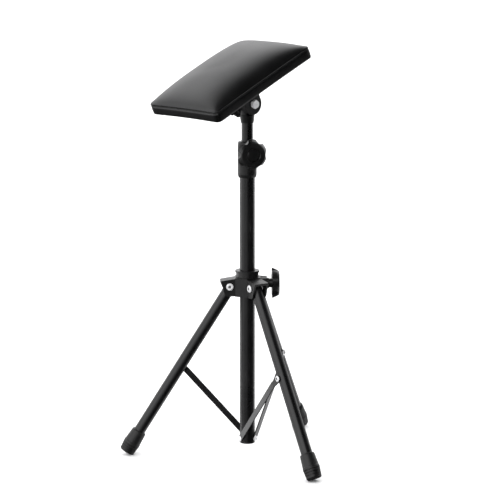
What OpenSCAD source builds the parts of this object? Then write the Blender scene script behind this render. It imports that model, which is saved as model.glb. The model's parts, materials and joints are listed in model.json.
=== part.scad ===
// Height adjustable arm rest on a folding tripod.
// Lengths in millimetres, +Z up, origin on the floor under the column's axis.
// Each leg's own frame has +X pointing outwards from the column.

/* [Column] */
// Outer diameter of the column tube
column_d = 25.4; // [20:0.1:32]
// Wall of the column tube
column_wall = 1.5; // [1:0.1:2]
// Height of the column's lower end above the floor
column_bottom_z = 19; // [16:0.5:26]
// Height of the column's upper end above the floor
column_top_z = 530.5; // [500:0.5:600]

/* [Riser] */
// Outer diameter of the sliding riser tube
riser_d = 19.05; // [16:0.05:19.5]
// Wall of the riser tube
riser_wall = 1.5; // [1:0.1:2]
// Length of the riser tube
riser_length = 245; // [200:1:300]
// Height of the tilt hinge above the floor, as set now
hinge_z = 597; // [590:0.5:620]
// Direction that the pad rises in, from +X
pad_azimuth = 39.5; // [0:0.5:360]

/* [Tripod] */
// Outer diameter of the leg tubes
leg_d = 19.05; // [16:0.05:20]
// Wall of the leg tubes
leg_wall = 1.2; // [0.8:0.1:1.6]
// Angle of an open leg from the vertical
leg_angle = 32; // [28:0.5:35]
// Distance from a leg's pivot to the end of its foot
leg_reach = 334.6; // [320:0.2:380]
// Distance from the column's axis to a leg's pivot
pivot_r = 29.7; // [29:0.1:34]
// Distance from a leg's pivot to its centre line
leg_inset = 2.35; // [1:0.05:3]
// Height of the brace rivets above the column's lower end
brace_foot_rise = 8.4; // [7.5:0.1:14]
// Distance along a leg from its pivot to its brace rivet
brace_reach = 160; // [140:1:180]
// Width of a brace strip
brace_w = 10; // [8:0.5:12]
// Thickness of a brace strip
brace_t = 2; // [1.5:0.1:2.5]

/* [Hub] */
// Height of the hub below its flange
hub_h = 31.5; // [30:0.5:34]
// Distance from the column's axis to the hub's flat sides
hub_flat_r = 22.1; // [21.5:0.1:24]
// Thickness of the cheeks beside each leg
cheek_t = 3.5; // [3:0.1:4.5]
// Thickness of the web over each leg
arm_web = 3.4; // [2.5:0.1:3.6]
// Diameter of the lip on the hub's bush
bush_lip_d = 40.6; // [38:0.1:43]
// Height of the collar on the hub's bush
bush_flange_h = 11.5; // [8:0.5:14]

/* [Feet] */
// Length of a rubber foot
foot_length = 42; // [38:0.5:46]
// Widest diameter of a rubber foot
foot_d = 28.4; // [27.5:0.1:30]
// Diameter of the face that ends a foot
foot_end_d = 25.2; // [23:0.1:26]
// Depth of the flat that a foot stands on
foot_flat = 0.9; // [0.6:0.1:1.2]
// Number of grip grooves round a foot
foot_grooves = 3; // [2:1:4]

/* [Clamp knobs] */
// Diameter over the lobes of a star knob
knob_d = 51; // [46:0.5:54]
// Thickness of a star knob
knob_h = 12.2; // [11.5:0.1:15]
// Number of lobes on a star knob
knob_lobes = 6; // [5:1:7]
// Diameter of a star knob's neck
knob_neck_d = 15.6; // [14.5:0.1:17]
// Length of a star knob's neck
knob_neck_h = 5; // [4:0.5:7]
// Diameter of the clamp screws and of the tilt bolt
screw_d = 8; // [6:0.5:8]

/* [Top collar] */
// Outer diameter of the clamp collar on the column
collar_d = 31.5; // [30.5:0.1:36]
// Height of the clamp collar
collar_h = 60; // [50:1:70]
// Height of the collar's knob below the top of the collar
collar_knob_drop = 18.5; // [16:0.5:24]
// Direction of the height knob, from +X
collar_knob_azimuth = 282.7; // [0:0.1:360]
// Distance from the column's axis to the knob boss's face
collar_boss_r = 23.8; // [23:0.1:28]

/* [Tilt head] */
// Diameter of the head's round knuckle
knuckle_d = 32; // [28:0.5:33]
// Width of the head's round knuckle
knuckle_w = 15; // [12:0.5:18]
// Diameter of the socket round the riser at its lower end
socket_low_d = 21.6; // [21.2:0.1:23]
// Diameter of the socket at its upper end
socket_top_d = 24.4; // [23.5:0.1:26]
// Length of the socket
socket_h = 13.5; // [12:0.5:18]

/* [Pad bracket] */
// Diameter of the bracket's ears
ear_d = 36; // [33.5:0.5:38]
// Thickness of the bracket's ears
ear_t = 7.5; // [6:0.5:9]
// Height of the underside of the pad above the hinge
pad_rise = 42.5; // [41:0.5:50]
// Length of the bracket's plate
plate_l = 92; // [84:1:110]
// Width of the bracket's plate
plate_w = 58; // [54:1:70]
// Thickness of the bracket's plate
plate_t = 4; // [3:0.1:5]

/* [Pad] */
// Length of the pad along its seam
pad_l = 225; // [200:1:260]
// Width of the pad along its seam
pad_w = 171.5; // [150:0.5:200]
// Tilt of the pad, as set now
pad_tilt = 25; // [0:0.5:60]
// Distance that the pad's middle lies down the slope from the hinge
pad_shift = 15.5; // [0:0.5:30]
// Height of the pad's side from its hem to its seam
pad_side_h = 16; // [13:0.1:18]
// Height of the pad's crown above its seam
pad_crown_h = 24.5; // [12:0.5:30]
// Thickness of the board inside the pad
board_t = 9; // [8:0.5:10]
// Thickness of the pad's cover
cover_t = 1.2; // [1:0.1:1.5]

/* [Hidden] */

$fn = 72;

// How far a cut runs past the face that it opens
overrun = 1;
// Radial clearance of a shaft that turns or slides in a bore
running_gap = 0.05;
// Gap between surfaces of pieces that pass each other
free_gap = 0.3;
// Rim that every chamfered edge loses
edge = 1;

// Azimuths of the left, front and back legs
first_leg_azimuth = 180;
leg_step = 120;
function leg_azimuth(i) = first_leg_azimuth + i * leg_step;

// Foot and leg places in the leg's own frame
foot_end_r = foot_end_d / 2;
pivot_z = leg_reach * cos(leg_angle) + (leg_inset + foot_end_r) * sin(leg_angle) - foot_flat;
leg_r = leg_d / 2;
leg_gap = 0.5;
leg_top_drop = 9;
leg_plug_l = 24;
leg_eye_r = 7.4;
foot_floor_t = 8;
foot_socket_gap = 0.05;
foot_neck_in = 1.8;
foot_belly_share = 0.43;
foot_groove_w = 1.3;
foot_groove_d = 0.9;
leg_tube_l = leg_reach - leg_top_drop - foot_floor_t - foot_socket_gap;

// Rivets
pivot_pin_d = 6;
pivot_head_d = 12;
pivot_head_h = 2;
pivot_dimple_d = 4.4;
pivot_dimple_h = 1.2;
brace_pin_d = 5;
brace_head_d = 10;
brace_head_h = 1.7;
brace_pin_in = 7.6;
dimple_share = 0.6;
// Shares of a rivet head's height where its dome turns
dome_low_share = 0.35;
dome_mid_share = 0.8;
dome_in_share = 0.4;

// Cap in the column's lower end
column_r = column_d / 2;
cap_flange_h = 3;
cap_flange_out = 0.5;
cap_plug_h = 2.2;
cap_plug_wall = 1.6;

// Brace triangle in a leg's plane
brace_foot_z = column_bottom_z + brace_foot_rise;
brace_top_x = pivot_r - leg_inset * cos(leg_angle) + brace_reach * sin(leg_angle);
brace_top_z = pivot_z - leg_inset * sin(leg_angle) - brace_reach * cos(leg_angle);
brace_l = norm([brace_top_x, brace_top_z - brace_foot_z]);
brace_lean = atan2(brace_top_x, brace_top_z - brace_foot_z);
brace_low_y = column_r + free_gap;
brace_high_y = leg_r + free_gap;
brace_flat_l = 14;
brace_jog_l = 9;

// Hub
bush_r = column_r + running_gap;
bush_wall = 1.8;
bush_out_r = bush_r + bush_wall;
hub_over_pivot = 14.6;
hub_top_z = pivot_z + hub_over_pivot;
hub_low_z = hub_top_z - hub_h;
slot_w = leg_d + 2 * leg_gap;
arm_w = slot_w + 2 * cheek_t;
slot_root_r = 17.9;
arm_top_in = 13.8;
arm_top_out = 9.4;
arm_tip = 16;
arm_waist = 11.4;
arm_waist_drop = 3;
arm_nose = 8.8;
arm_drop = 16.4;
arm_nose_rise = 3.6;
hub_side_angle = 33;
hub_boss_d = 18;
hub_boss_r = 36;
hub_knob_over_pivot = 3.8;
hub_knob_z = pivot_z + hub_knob_over_pivot;
rivet_pad_h = 0.6;
bush_lip_h = 3;
bush_lip_in = 1.5;

// Clamp screws
screw_r = screw_d / 2;
screw_fit = 0.07;
clamp_pad_t = 3;
clamp_pad_in = 0.3;
clamp_hole_d = screw_d + 1;
nut_d = 12;
nut_h = 8;
nut_set_back = 0.4;
screw_grip = 8;
screw_tip_gap = 0.05;
nut_gap = 0.05;

// Knob outline
knob_mid_share = 0.74;
knob_mid_r_share = 0.86;
knob_face_r_share = 0.77;
knob_notch_r = 8;
knob_notch_out = 3.6;
knob_dish_d = 24;
knob_dish_h = 0.8;
knob_button_d = 20;
hub_knob_turn = 8;
tilt_knob_turn = 12;

// Top collar
collar_over_tube = 3.5;
collar_top_z = column_top_z + collar_over_tube;
collar_taper_h = 5;
collar_taper = 1.1;
collar_top_taper_h = 8;
collar_top_taper = 0.5;
collar_knob_z = collar_top_z - collar_knob_drop;
collar_boss_d = 19;
riser_r = riser_d / 2;
collar_slide_gap = 0.07;

// Riser
socket_depth = 0.3;
socket_under_ear = 0.6;
socket_top_z = hinge_z - ear_d / 2 - socket_under_ear;
socket_low_z = socket_top_z - socket_h;
riser_set_back = 0.5;
riser_top_z = socket_top_z - riser_set_back;
riser_low_z = riser_top_z - riser_length;
riser_bush_h = 22;
riser_bush_lip = 2;
riser_bush_gap = 0.05;

// Tilt joint, along the hinge
head_gap = 0.2;
ear_in = knuckle_w / 2 + head_gap;
ear_out = ear_in + ear_t;
washer_t = 1.6;
washer_d = 16;
bolt_head_af = 13;
bolt_head_h = 5.3;
bolt_past_knob = 9;
knob_nut_af = 13;
knob_nut_h = 6.5;
knob_nut_in = 1.5;
knob_bore_fit = 0.2;

// Pad layers, above the hinge
cloth_t = 0.6;
cloth_margin = 9;
hem_w = 14;
cover_low = pad_rise + cloth_t;
cover_seam = cover_low + pad_side_h;
board_lift = 0.1;
board_low = cover_low + cover_t + board_lift;
board_top = board_low + board_t;
layer_gap = 0.2;
foam_gap = 0.6;
board_side_gap = 0.45;
side_bow = 1.4;
corner_r = 9;
corner_steps = 6;
side_steps = 4;
// Rings from the hem to the top of the cover: inset from the seam, height share of the side
side_inset_shares = [0.9, 0.28, 0.1, 0.24, 0.08, 0];
side_height_shares = [0, 0.1, 0.32, 0.58, 0.88, 1];
side_round = 4.2;
// How fast the crown's rings get rounder inwards, and their roundest share of the half width
crown_widen = 0.6;
crown_round_max = 0.9;
// Rings over the crown: inset share of half the width
crown_inset_shares = [0.014, 0.05, 0.12, 0.24, 0.42, 0.64, 0.88];

// Bracket fasteners
plate_screw_x = 37;
plate_screw_y = 21;
plate_screw_d = 5;
plate_screw_head_d = 9.4;
plate_screw_head_h = 3.2;
tee_barrel_d = 6.8;
tee_flange_d = 17;
tee_flange_t = 1.4;
gusset_t = 3.5;
gusset_run = 9;
rib_t = 3;
rib_h = 3.2;
bridge_h = 9;

// Shared shapes

module pipe(d, wall, h) {
    difference() {
        cylinder(d = d, h = h);
        translate([0, 0, -overrun]) cylinder(d = d - 2 * wall, h = h + 2 * overrun);
    }
}

module at_leg(i) rotate([0, 0, leg_azimuth(i)]) children();

// Frame of an open leg: origin at the pivot, the leg runs down -Z
module leg_frame(i)
    at_leg(i) translate([pivot_r, 0, pivot_z]) rotate([0, -leg_angle, 0]) children();

// Frame of the pad: origin on the hinge, +X up the slope, +Y along the hinge to the knob
module pad_frame()
    translate([0, 0, hinge_z]) rotate([0, 0, pad_azimuth]) rotate([0, -pad_tilt, 0]) children();

// Frame of a clamp: origin on the column's axis, +Z outwards along the screw
module collar_clamp_frame()
    translate([0, 0, collar_knob_z]) rotate([0, 0, collar_knob_azimuth]) rotate([0, 90, 0]) children();
module hub_clamp_frame()
    translate([0, 0, hub_knob_z]) rotate([0, 90, 0]) children();

// Domed rivet head with a hollow in its middle, sitting on the plane z = 0
module rivet_head(d, h, dimple_d, dimple_h) {
    rotate_extrude()
        polygon([
            [0, 0], [d / 2, 0], [d / 2, h * dome_low_share],
            [d / 2 - h * dome_in_share, h * dome_mid_share], [d / 2 - h, h],
            [dimple_d / 2, h], [dimple_d / 2 - dimple_h / 2, h - dimple_h], [0, h - dimple_h]
        ]);
}

// Star knob on +Z: the neck starts at z = 0 and the lobes' back is at the neck's end
module star_knob(bore_d, bore_h) {
    r = knob_d / 2;
    difference() {
        intersection() {
            rotate_extrude()
                polygon([
                    [0, 0], [knob_neck_d / 2, 0], [knob_neck_d / 2, knob_neck_h],
                    [r - edge, knob_neck_h], [r, knob_neck_h + edge],
                    [r * knob_mid_r_share, knob_neck_h + knob_h * knob_mid_share],
                    [r * knob_face_r_share, knob_neck_h + knob_h],
                    [knob_dish_d / 2, knob_neck_h + knob_h],
                    [knob_dish_d / 2 - knob_dish_h, knob_neck_h + knob_h - knob_dish_h],
                    [knob_button_d / 2, knob_neck_h + knob_h - knob_dish_h],
                    [knob_button_d / 2 - knob_dish_h, knob_neck_h + knob_h],
                    [0, knob_neck_h + knob_h]
                ]);
            difference() {
                cylinder(r = r + overrun, h = knob_neck_h + knob_h);
                for (i = [0 : knob_lobes - 1])
                    rotate([0, 0, i * 360 / knob_lobes])
                        translate([r + knob_notch_out, 0, -overrun])
                            cylinder(r = knob_notch_r, h = knob_neck_h + knob_h + 2 * overrun, $fn = 36);
            }
        }
        translate([0, 0, -overrun]) cylinder(d = bore_d, h = bore_h + overrun);
    }
}

// Plain shank that stands for a clamp screw, from its tip to its seat in the knob
module clamp_screw(tip_r, boss_r) {
    h = boss_r + knob_neck_h + screw_grip - tip_r;
    translate([0, 0, tip_r])
        rotate_extrude()
            polygon([
                [0, 0], [screw_r - edge, 0], [screw_r, edge], [screw_r, h - edge / 2],
                [screw_r - edge / 2, h], [0, h]
            ]);
}

// Soft tip of a clamp screw
module clamp_pad(tip_r) {
    translate([0, 0, tip_r])
        rotate_extrude()
            polygon([
                [0, 0], [screw_r - clamp_pad_in, 0], [screw_r - clamp_pad_in, clamp_pad_t], [0, clamp_pad_t]
            ]);
}

// Threaded insert, flush inside a boss
module clamp_nut(boss_r) {
    translate([0, 0, boss_r - nut_set_back - nut_h])
        difference() {
            cylinder(d = nut_d, h = nut_h);
            translate([0, 0, -overrun]) cylinder(r = screw_r + screw_fit, h = nut_h + 2 * overrun);
        }
}

// Bore for the screw and pocket for its nut
module clamp_cut(boss_r, from_r) {
    translate([0, 0, from_r]) cylinder(d = clamp_hole_d, h = boss_r - from_r + overrun);
    translate([0, 0, boss_r - nut_set_back - nut_h - nut_gap])
        cylinder(d = nut_d + 2 * nut_gap, h = nut_h + nut_set_back + nut_gap + overrun);
}

// Column

module column_tube() {
    color("#202022")
        difference() {
            translate([0, 0, column_bottom_z + cap_flange_h])
                pipe(column_d, column_wall, column_top_z - column_bottom_z - cap_flange_h);
            collar_clamp_frame() cylinder(d = clamp_hole_d, h = column_d);
        }
}

module column_end_cap() {
    plug_r = column_r - column_wall - running_gap;
    flange_r = column_r + cap_flange_out;
    color("#161617")
        translate([0, 0, column_bottom_z])
            rotate_extrude()
                polygon([
                    [0, 0], [flange_r - edge, 0], [flange_r, edge], [flange_r, cap_flange_h],
                    [plug_r, cap_flange_h], [plug_r, cap_flange_h + cap_plug_h],
                    [plug_r - cap_plug_wall, cap_flange_h + cap_plug_h],
                    [plug_r - cap_plug_wall, cap_flange_h - edge], [0, cap_flange_h - edge]
                ]);
}

module top_collar() {
    r = collar_d / 2;
    bore_r = column_r + running_gap;
    color("#1b1b1d")
        difference() {
            union() {
                translate([0, 0, collar_top_z - collar_h])
                    rotate_extrude()
                        polygon([
                            [0, 0], [r - collar_taper, 0], [r, collar_taper_h],
                            [r, collar_h - collar_top_taper_h], [r - collar_top_taper, collar_h - edge],
                            [r - collar_top_taper - edge, collar_h], [0, collar_h]
                        ]);
                collar_clamp_frame() cylinder(d = collar_boss_d, h = collar_boss_r);
            }
            translate([0, 0, collar_top_z - collar_h - overrun])
                cylinder(r = bore_r, h = collar_h + overrun - (collar_top_z - column_top_z) + running_gap);
            translate([0, 0, column_top_z - overrun])
                cylinder(r = riser_r + collar_slide_gap, h = collar_top_z - column_top_z + 2 * overrun);
            collar_clamp_frame() clamp_cut(collar_boss_r, riser_r);
        }
}

module collar_nut() color("#b59a5b") collar_clamp_frame() clamp_nut(collar_boss_r);

module height_clamp_pad() color("#c9c6bd") collar_clamp_frame() clamp_pad(riser_r + free_gap);

module height_screw()
    color("silver")
        collar_clamp_frame()
            clamp_screw(riser_r + free_gap + clamp_pad_t + screw_tip_gap, collar_boss_r);

module height_knob()
    color("#19191a")
        collar_clamp_frame() translate([0, 0, collar_boss_r + free_gap])
            rotate([0, 0, 90]) star_knob(screw_d + knob_bore_fit, knob_neck_h + screw_grip);

// Hub

// Side outline of an arm, +X outwards from the pivot and +Y up
module arm_outline() {
    back = -pivot_r;
    polygon([
        [back, -arm_drop], [arm_nose - arm_nose_rise, -arm_drop],
        [arm_nose, arm_nose_rise - arm_drop], [arm_waist, -arm_waist_drop],
        [arm_tip, arm_top_out - edge], [arm_tip - edge, arm_top_out],
        [slot_root_r - pivot_r, arm_top_in], [back, arm_top_in]
    ]);
}

// Space for the leg under the arm's web
module slot_outline() {
    root = slot_root_r - pivot_r;
    polygon([
        [root, -hub_h], [root, arm_top_in - arm_web],
        [arm_tip - edge, arm_top_out - arm_web],
        [arm_tip + overrun, arm_top_out - arm_web], [arm_tip + overrun, -hub_h]
    ]);
}

module hub() {
    color("#1e1e20")
        difference() {
            union() {
                // Body with a flat side between each two arms
                translate([0, 0, hub_low_z]) linear_extrude(hub_h)
                    polygon([for (i = [0 : 2], side = [-1, 1])
                        let (a = leg_azimuth(i) + side * hub_side_angle, r = hub_flat_r / cos(60 - hub_side_angle))
                        [r * cos(a), r * sin(a)]]);
                for (i = [0 : 2])
                    at_leg(i) translate([pivot_r, arm_w / 2, pivot_z]) rotate([90, 0, 0])
                        linear_extrude(arm_w) arm_outline();
                hub_clamp_frame() cylinder(d = hub_boss_d, h = hub_boss_r);
                // Round pads under the rivet heads
                for (i = [0 : 2], side = [-1, 1])
                    at_leg(i) translate([pivot_r, 0, pivot_z]) rotate([-side * 90, 0, 0])
                        cylinder(d = pivot_head_d + 2 * edge, h = arm_w / 2 + rivet_pad_h);
            }
            translate([0, 0, hub_low_z - overrun])
                cylinder(r = bush_out_r + nut_gap, h = hub_h + 2 * overrun);
            for (i = [0 : 2]) at_leg(i) {
                translate([pivot_r, slot_w / 2, pivot_z]) rotate([90, 0, 0])
                    linear_extrude(slot_w) slot_outline();
                translate([pivot_r, arm_w, pivot_z]) rotate([90, 0, 0])
                    cylinder(d = pivot_pin_d + 2 * running_gap, h = 2 * arm_w);
            }
            hub_clamp_frame() clamp_cut(hub_boss_r, column_r);
        }
}

module hub_bush() {
    color("#262628")
        difference() {
            translate([0, 0, hub_low_z])
                rotate_extrude()
                    polygon([
                        [bush_r, 0], [bush_out_r, 0], [bush_out_r, hub_h],
                        [bush_lip_d / 2 - bush_lip_in, hub_h],
                        [bush_lip_d / 2 - bush_lip_in, hub_h + bush_flange_h - bush_lip_h],
                        [bush_lip_d / 2, hub_h + bush_flange_h - bush_lip_h],
                        [bush_lip_d / 2, hub_h + bush_flange_h - edge / 2],
                        [bush_lip_d / 2 - edge / 2, hub_h + bush_flange_h],
                        [bush_r + edge, hub_h + bush_flange_h], [bush_r, hub_h + bush_flange_h - edge]
                    ]);
            hub_clamp_frame() cylinder(d = clamp_hole_d, h = hub_boss_r);
        }
}

module hub_nut() color("#b59a5b") hub_clamp_frame() clamp_nut(hub_boss_r);

module hub_pivot_rivets() {
    reach = arm_w / 2 + rivet_pad_h;
    color("silver")
        for (i = [0 : 2]) at_leg(i) translate([pivot_r, 0, pivot_z]) {
            rotate([90, 0, 0]) translate([0, 0, -reach]) cylinder(d = pivot_pin_d, h = 2 * reach);
            for (side = [-1, 1]) rotate([side * 90, 0, 0]) translate([0, 0, reach])
                rivet_head(pivot_head_d, pivot_head_h, pivot_dimple_d, pivot_dimple_h);
        }
}

module hub_clamp_pad() color("#c9c6bd") hub_clamp_frame() clamp_pad(column_r + free_gap);

module hub_screw()
    color("silver")
        hub_clamp_frame()
            clamp_screw(column_r + free_gap + clamp_pad_t + screw_tip_gap, hub_boss_r);

module hub_knob()
    color("#19191a")
        hub_clamp_frame() translate([0, 0, hub_boss_r + free_gap])
            rotate([0, 0, hub_knob_turn]) star_knob(screw_d + knob_bore_fit, knob_neck_h + screw_grip);

// Legs

module leg_tube(i) {
    color("#202022")
        leg_frame(i)
            difference() {
                translate([-leg_inset, 0, -leg_top_drop - leg_tube_l]) pipe(leg_d, leg_wall, leg_tube_l);
                translate([-leg_inset, 0, -brace_reach]) rotate([90, 0, 0])
                    cylinder(d = brace_pin_d + 2 * running_gap, h = leg_d);
            }
}

module leg_tube_left() leg_tube(0);
module leg_tube_front() leg_tube(1);
module leg_tube_back() leg_tube(2);

// Plug in the leg's upper end, with the eye for the pivot
module leg_end(i) {
    plug_r = leg_r - leg_wall - running_gap;
    color("#161617")
        leg_frame(i)
            difference() {
                union() {
                    intersection() {
                        union() {
                            rotate([90, 0, 0]) cylinder(r = leg_eye_r, h = leg_d, center = true);
                            translate([-leg_eye_r, -leg_r, -leg_top_drop])
                                cube([2 * leg_eye_r, leg_d, leg_top_drop]);
                        }
                        translate([-leg_inset, 0, -leg_top_drop]) cylinder(r = leg_r, h = leg_top_drop + leg_d);
                    }
                    translate([-leg_inset, 0, -leg_top_drop - leg_plug_l])
                        cylinder(r = plug_r, h = leg_plug_l + overrun);
                }
                rotate([90, 0, 0]) cylinder(d = pivot_pin_d + 2 * running_gap, h = 2 * leg_d, center = true);
            }
}

module leg_end_left() leg_end(0);
module leg_end_front() leg_end(1);
module leg_end_back() leg_end(2);

// Outline of a foot from its end upwards: radius over height
module foot_outline() {
    r = foot_d / 2;
    top_r = r - foot_neck_in;
    belly = foot_length * foot_belly_share;
    groove_step = belly / (foot_grooves + 1);
    difference() {
        polygon([
            [0, 0], [foot_end_r - edge / 2, 0], [foot_end_r, edge / 2],
            [r, belly - 2 * edge], [r, belly + edge], [r - edge / 2, belly + 2 * edge],
            [top_r, foot_length - 3 * edge], [top_r - edge / 2, foot_length - edge],
            [top_r - 2 * edge, foot_length], [0, foot_length]
        ]);
        for (k = [1 : foot_grooves])
            translate([foot_end_r - foot_groove_d, k * groove_step]) square([r, foot_groove_w]);
    }
}

module foot(i) {
    socket_l = foot_length - foot_floor_t;
    color("#17181a")
        difference() {
            leg_frame(i) translate([-leg_inset, 0, -leg_reach])
                difference() {
                    rotate_extrude() foot_outline();
                    translate([0, 0, foot_floor_t])
                        cylinder(r = leg_r + foot_socket_gap, h = socket_l + overrun);
                }
            at_leg(i) translate([0, -foot_d, -foot_d]) cube([leg_reach, 2 * foot_d, foot_d]);
        }
}

module foot_left() foot(0);
module foot_front() foot(1);
module foot_back() foot(2);

// Flat strip from the column's lower end to the leg, stepped in beside the leg
module brace(i) {
    far = brace_l + brace_w / 2;
    step_end = brace_l - brace_flat_l / 2;
    step_start = step_end - brace_jog_l;
    color("#1c1c1e")
        at_leg(i) translate([0, 0, brace_foot_z]) rotate([0, brace_lean - 90, 0])
            difference() {
                intersection() {
                    translate([0, brace_w, 0]) rotate([90, 0, 0]) linear_extrude(4 * brace_w) {
                        circle(d = brace_w);
                        translate([0, -brace_w / 2]) square([brace_l, brace_w]);
                        translate([brace_l, 0]) circle(d = brace_w);
                    }
                    translate([0, 0, -brace_w]) linear_extrude(2 * brace_w)
                        polygon([
                            [-brace_w, -brace_low_y], [step_start, -brace_low_y], [step_end, -brace_high_y],
                            [far, -brace_high_y], [far, -brace_high_y - brace_t], [step_end, -brace_high_y - brace_t],
                            [step_start, -brace_low_y - brace_t], [-brace_w, -brace_low_y - brace_t]
                        ]);
                }
                for (x = [0, brace_l]) translate([x, 0, 0]) rotate([90, 0, 0])
                    cylinder(d = brace_pin_d + 2 * running_gap, h = 2 * column_d);
            }
}

module brace_left() brace(0);
module brace_front() brace(1);
module brace_back() brace(2);

// Rivet with its head on the plane z = 0 and its shank below
module strip_rivet(shank)
    color("silver") {
        rivet_head(brace_head_d, brace_head_h, brace_pin_d * dimple_share, brace_head_h / 2);
        translate([0, 0, -shank]) cylinder(d = brace_pin_d, h = shank);
    }

// Rivet at the brace's upper end, through the leg's wall
module brace_rivet(i) {
    face = brace_high_y + brace_t + running_gap;
    at_leg(i) translate([brace_top_x, 0, brace_top_z]) rotate([90, 0, 0]) translate([0, 0, face])
        strip_rivet(face - brace_pin_in);
}

// Rivet at the brace's lower end: the linkage is opened here, so it stops short of the column
module brace_foot_rivet(i) {
    face = brace_low_y + brace_t;
    at_leg(i) translate([0, 0, brace_foot_z]) rotate([90, 0, 0]) translate([0, 0, face])
        strip_rivet(brace_t);
}

module brace_rivet_left() brace_rivet(0);
module brace_rivet_front() brace_rivet(1);
module brace_rivet_back() brace_rivet(2);

module brace_foot_rivet_left() brace_foot_rivet(0);
module brace_foot_rivet_front() brace_foot_rivet(1);
module brace_foot_rivet_back() brace_foot_rivet(2);

// Riser and tilt head

module riser_bush() {
    out_r = column_r - column_wall - running_gap;
    in_r = riser_r + running_gap;
    color("#d8d6cf")
        translate([0, 0, riser_low_z - riser_bush_lip])
            rotate_extrude()
                polygon([
                    [riser_r - riser_wall, 0], [out_r - edge, 0], [out_r, edge],
                    [out_r, riser_bush_h + riser_bush_lip], [in_r, riser_bush_h + riser_bush_lip],
                    [in_r, riser_bush_lip - riser_bush_gap], [riser_r - riser_wall, riser_bush_lip - riser_bush_gap]
                ]);
}

module riser_tube() color("#242426") translate([0, 0, riser_low_z]) pipe(riser_d, riser_wall, riser_length);

module tilt_head() {
    low_r = socket_low_d / 2;
    top_r = socket_top_d / 2;
    web_w = knuckle_w;
    color("#1d1d1f")
        rotate([0, 0, pad_azimuth])
            difference() {
                union() {
                    translate([0, 0, socket_low_z])
                        rotate_extrude()
                            polygon([
                                [0, 0], [low_r - edge / 2, 0], [low_r, edge / 2],
                                [top_r, socket_h - edge], [top_r - edge / 2, socket_h], [0, socket_h]
                            ]);
                    translate([0, 0, hinge_z]) rotate([90, 0, 0])
                        cylinder(d = knuckle_d, h = knuckle_w, center = true);
                    intersection() {
                        translate([-top_r, -web_w / 2, socket_top_z - edge])
                            cube([2 * top_r, web_w, hinge_z - socket_top_z + edge]);
                        translate([0, 0, socket_low_z]) cylinder(r = top_r - edge / 2, h = hinge_z - socket_low_z);
                    }
                }
                translate([0, 0, socket_low_z - overrun])
                    cylinder(r = riser_r + running_gap, h = riser_top_z - socket_low_z + overrun + running_gap);
                translate([0, 0, hinge_z]) rotate([90, 0, 0])
                    cylinder(r = screw_r + running_gap, h = 2 * knuckle_w, center = true);
            }
}

// Pad bracket and tilt fasteners, in the pad's frame

module pad_bracket() {
    plate_low = pad_rise - plate_t;
    color("#1a1a1c")
        pad_frame()
            difference() {
                union() {
                    // Plate with round corners
                    translate([0, 0, plate_low]) linear_extrude(plate_t) round_plate(plate_l, plate_w, corner_r);
                    for (side = [-1, 1]) {
                        // Ear round the bolt and its web up to the plate
                        translate([0, side * (ear_in + ear_t / 2), 0]) {
                            rotate([90, 0, 0]) cylinder(d = ear_d, h = ear_t, center = true);
                            translate([-ear_d / 2, -ear_t / 2, 0]) cube([ear_d, ear_t, plate_low + edge]);
                        }
                        // Gussets outside the ear
                        for (x = [-1, 1])
                            translate([x * (ear_d - gusset_t) / 2 - gusset_t / 2, side * (ear_out - edge), 0])
                                mirror([0, side < 0 ? 1 : 0, 0]) gusset(plate_low);
                    }
                    // Bridge between the ears, under the plate
                    translate([-ear_d / 2, -ear_in - edge, plate_low - bridge_h])
                        cube([ear_d, 2 * (ear_in + edge), bridge_h + edge]);
                    // Ribs along the plate
                    for (side = [-1, 1])
                        translate([-plate_l / 2 + corner_r, side * ear_in - rib_t / 2, plate_low - rib_h])
                            cube([plate_l - 2 * corner_r, rib_t, rib_h + edge]);
                }
                rotate([90, 0, 0]) cylinder(r = screw_r + running_gap, h = 4 * ear_out, center = true);
                for (x = [-1, 1], y = [-1, 1])
                    translate([x * plate_screw_x, y * plate_screw_y, plate_low - overrun])
                        cylinder(d = plate_screw_d + 2 * running_gap, h = plate_t + 2 * overrun);
            }
}

module round_plate(l, w, r) {
    square([l - 2 * r, w], center = true);
    square([l, w - 2 * r], center = true);
    for (x = [-1, 1], y = [-1, 1]) translate([x * (l / 2 - r), y * (w / 2 - r)]) circle(r = r);
}

// Triangle standing on +Y, its top on the plate
module gusset(top) {
    rotate([90, 0, 90]) linear_extrude(gusset_t)
        polygon([
            [0, top + edge], [gusset_run + edge, top + edge], [gusset_run + edge, top],
            [edge, top - 2 * gusset_run], [0, top - 2 * gusset_run]
        ]);
}

module tilt_bolt() {
    under_head = ear_out + washer_t + free_gap / 3;
    tail = ear_out + washer_t + knob_neck_h + bolt_past_knob;
    color("silver")
        pad_frame() rotate([90, 0, 0]) {
            difference() {
                translate([0, 0, under_head]) cylinder(d = bolt_head_af / cos(30), h = bolt_head_h, $fn = 6);
                translate([0, 0, under_head + bolt_head_h - edge])
                    difference() {
                        cylinder(d = 2 * bolt_head_af, h = 2 * edge);
                        cylinder(d1 = bolt_head_af + 2 * edge, d2 = bolt_head_af - 2 * edge, h = 2 * edge);
                    }
            }
            translate([0, 0, -tail]) cylinder(r = screw_r, h = tail + under_head);
        }
}

// Flat washer on the axis of the hinge, from z = 0
module flat_washer(bore_gap)
    difference() {
        cylinder(d = washer_d, h = washer_t);
        translate([0, 0, -overrun]) cylinder(r = screw_r + bore_gap, h = washer_t + 2 * overrun);
    }

module tilt_bolt_washer()
    color("#c6c8ca") pad_frame() rotate([90, 0, 0]) translate([0, 0, ear_out + free_gap / 6])
        flat_washer(free_gap / 2);

module tilt_knob_washer()
    color("#c6c8ca") pad_frame() rotate([-90, 0, 0]) translate([0, 0, ear_out + free_gap / 6])
        flat_washer(running_gap);

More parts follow.
